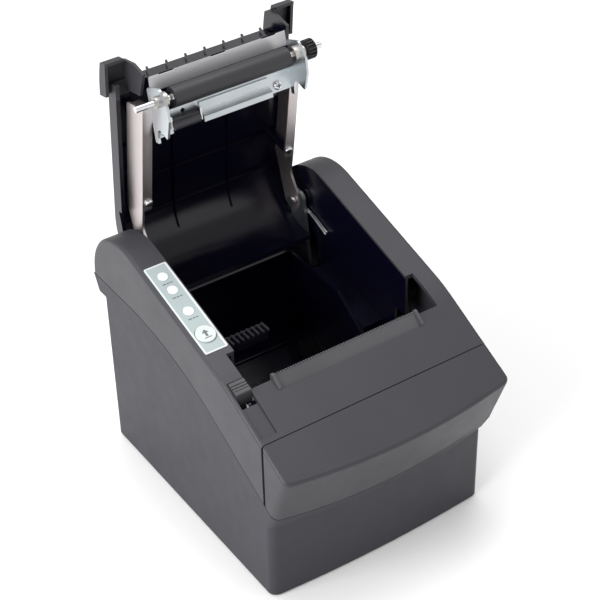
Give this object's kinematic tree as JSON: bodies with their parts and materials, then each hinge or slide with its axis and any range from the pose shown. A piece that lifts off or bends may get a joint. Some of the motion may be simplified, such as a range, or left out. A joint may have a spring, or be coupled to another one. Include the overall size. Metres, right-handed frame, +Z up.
{
  "type": "receipt printer",
  "caption": "Desktop thermal receipt printer with its roll lid open, showing the platen, cutter, paper bucket, control strip and rear sockets.",
  "frame": {"origin": "on the table, under the middle of the overall footprint", "axes": "+Z up, -Y towards the front of the printer, +X to the right seen from the front"},
  "size_m": [0.145, 0.2011, 0.2517],
  "materials": {
    "case_plastic": "fine spark-eroded grey-black moulding",
    "inner_plastic": "smooth near-black moulding",
    "steel": "zinc-plated pressed steel",
    "bright_steel": "ground and plated pins",
    "blade_steel": "ground blade steel",
    "spring_steel": "drawn spring wire",
    "black_rubber": "ground rubber",
    "lever_plastic": "grey moulding",
    "gear_plastic": "black acetal",
    "label_film": "pale grey printed film",
    "button_plastic": "pale grey moulding",
    "lens_plastic": "milky light guide",
    "board_green": "solder-masked board with parts",
    "motor_metal": "motor can",
    "head_alloy": "extruded heat sink",
    "ceramic_white": "glazed ceramic strip",
    "socket_plastic": "black connector moulding",
    "socket_metal": "nickel-plated shell"
  },
  "bodies": {
    "housing": {"lower_case": "case_plastic", "upper_case": "case_plastic", "bottom_plate": "steel", "rubber_feet": "black_rubber", "case_screws": "bright_steel", "board_pillars": "bright_steel", "main_board": "board_green", "rear_panel": "steel", "switch_body": "socket_plastic", "control_label": "label_film", "led_lenses": "lens_plastic", "control_board": "board_green", "tear_bar": "inner_plastic", "latch_spring": "spring_steel", "paper_bucket": "inner_plastic", "side_floors": "inner_plastic", "roll_guides": "inner_plastic", "near_end_sensor": "inner_plastic", "hinge_pins": "bright_steel", "hinge_posts": "steel", "lid_spring": "spring_steel", "side_frames": "steel", "mechanism_tray": "inner_plastic", "idler_pin": "bright_steel", "feed_motor": "motor_metal", "print_head": "head_alloy", "head_ceramic": "ceramic_white", "head_bracket": "steel", "head_springs": "spring_steel", "cutter_frame": "steel", "cutter_motor": "motor_metal", "power_socket": "socket_plastic", "drawer_socket": "socket_plastic", "serial_socket": "socket_metal", "network_socket": "socket_metal", "usb_socket": "socket_metal"},
    "front_cover": {"front_cover": "case_plastic"},
    "feed_button": {"feed_button": "button_plastic"},
    "latch": {"release_lever": "lever_plastic", "latch_shaft": "bright_steel", "latch_hooks": "lever_plastic"},
    "idler": {"idler_gear": "gear_plastic"},
    "motor_pinion": {"motor_pinion": "gear_plastic"},
    "cutter_blade": {"cutter_blade": "blade_steel"},
    "cutter_pinion": {"cutter_pinion": "gear_plastic"},
    "switch_rocker": {"switch_rocker": "socket_plastic"},
    "lid": {"lid_shell": "case_plastic", "lid_arms": "steel", "cross_plate": "steel", "guide_channel": "steel", "guide_pin": "bright_steel", "fixed_blade": "blade_steel", "blade_holder": "inner_plastic", "platen_bushings": "gear_plastic", "lid_screws": "bright_steel"},
    "platen": {"platen_rubber": "black_rubber", "platen_shaft": "bright_steel", "platen_gear": "gear_plastic"},
    "guide_roller": {"guide_roller": "lever_plastic"}
  },
  "joints": [
    {"name": "front_cover_slide", "type": "slide", "parent": "housing", "child": "front_cover", "axis": [0, -1, 0], "range_m": [0, 0.02]},
    {"name": "feed_button_press", "type": "slide", "parent": "housing", "child": "feed_button", "axis": [0, 0.2741, -0.9617], "range_m": [0, 0.0008], "stiffness_N_per_m": 800, "springref_m": -0.0005},
    {"name": "latch_turn", "type": "hinge", "parent": "housing", "child": "latch", "pos_m": [0, -0.0505, 0.08], "axis": [1, 0, 0], "range_deg": [0, 4.5], "stiffness_Nm_per_rad": 0.6, "springref_deg": -5.73},
    {"name": "idler_spin", "type": "hinge", "parent": "housing", "child": "idler", "pos_m": [0.0495, -0.03524, 0.08179], "axis": [1, 0, 0], "continuous": true},
    {"name": "motor_spin", "type": "hinge", "parent": "housing", "child": "motor_pinion", "pos_m": [0.0495, -0.0377, 0.06781], "axis": [1, 0, 0], "continuous": true},
    {"name": "blade_stroke", "type": "slide", "parent": "housing", "child": "cutter_blade", "axis": [0, 1, 0], "range_m": [0, 0.0055]},
    {"name": "cutter_pinion_turn", "type": "hinge", "parent": "housing", "child": "cutter_pinion", "pos_m": [0.02, -0.064, 0.1016], "axis": [0, 0, 1], "range_deg": [0, 66]},
    {"name": "switch_rock", "type": "hinge", "parent": "housing", "child": "switch_rocker", "pos_m": [-0.05, 0.0849, 0.033], "axis": [1, 0, 0], "range_deg": [0, 10]},
    {"name": "lid_hinge", "type": "hinge", "parent": "housing", "child": "lid", "pos_m": [0, 0.076, 0.1304], "axis": [1, 0, 0], "range_deg": [0, 101]},
    {"name": "platen_spin", "type": "hinge", "parent": "lid", "child": "platen", "pos_m": [0, 0.05905, 0.2371], "axis": [1, 0, 0], "continuous": true},
    {"name": "guide_roller_spin", "type": "hinge", "parent": "lid", "child": "guide_roller", "pos_m": [-0.0271, 0.06195, 0.2185], "axis": [1, 0, 0], "continuous": true}
  ],
  "couplings": [
    {"joint": "motor_spin", "follows": "idler_spin", "ratio": -2.3571},
    {"joint": "cutter_pinion_turn", "follows": "blade_stroke", "rad_per_m": 208.33}
  ]
}
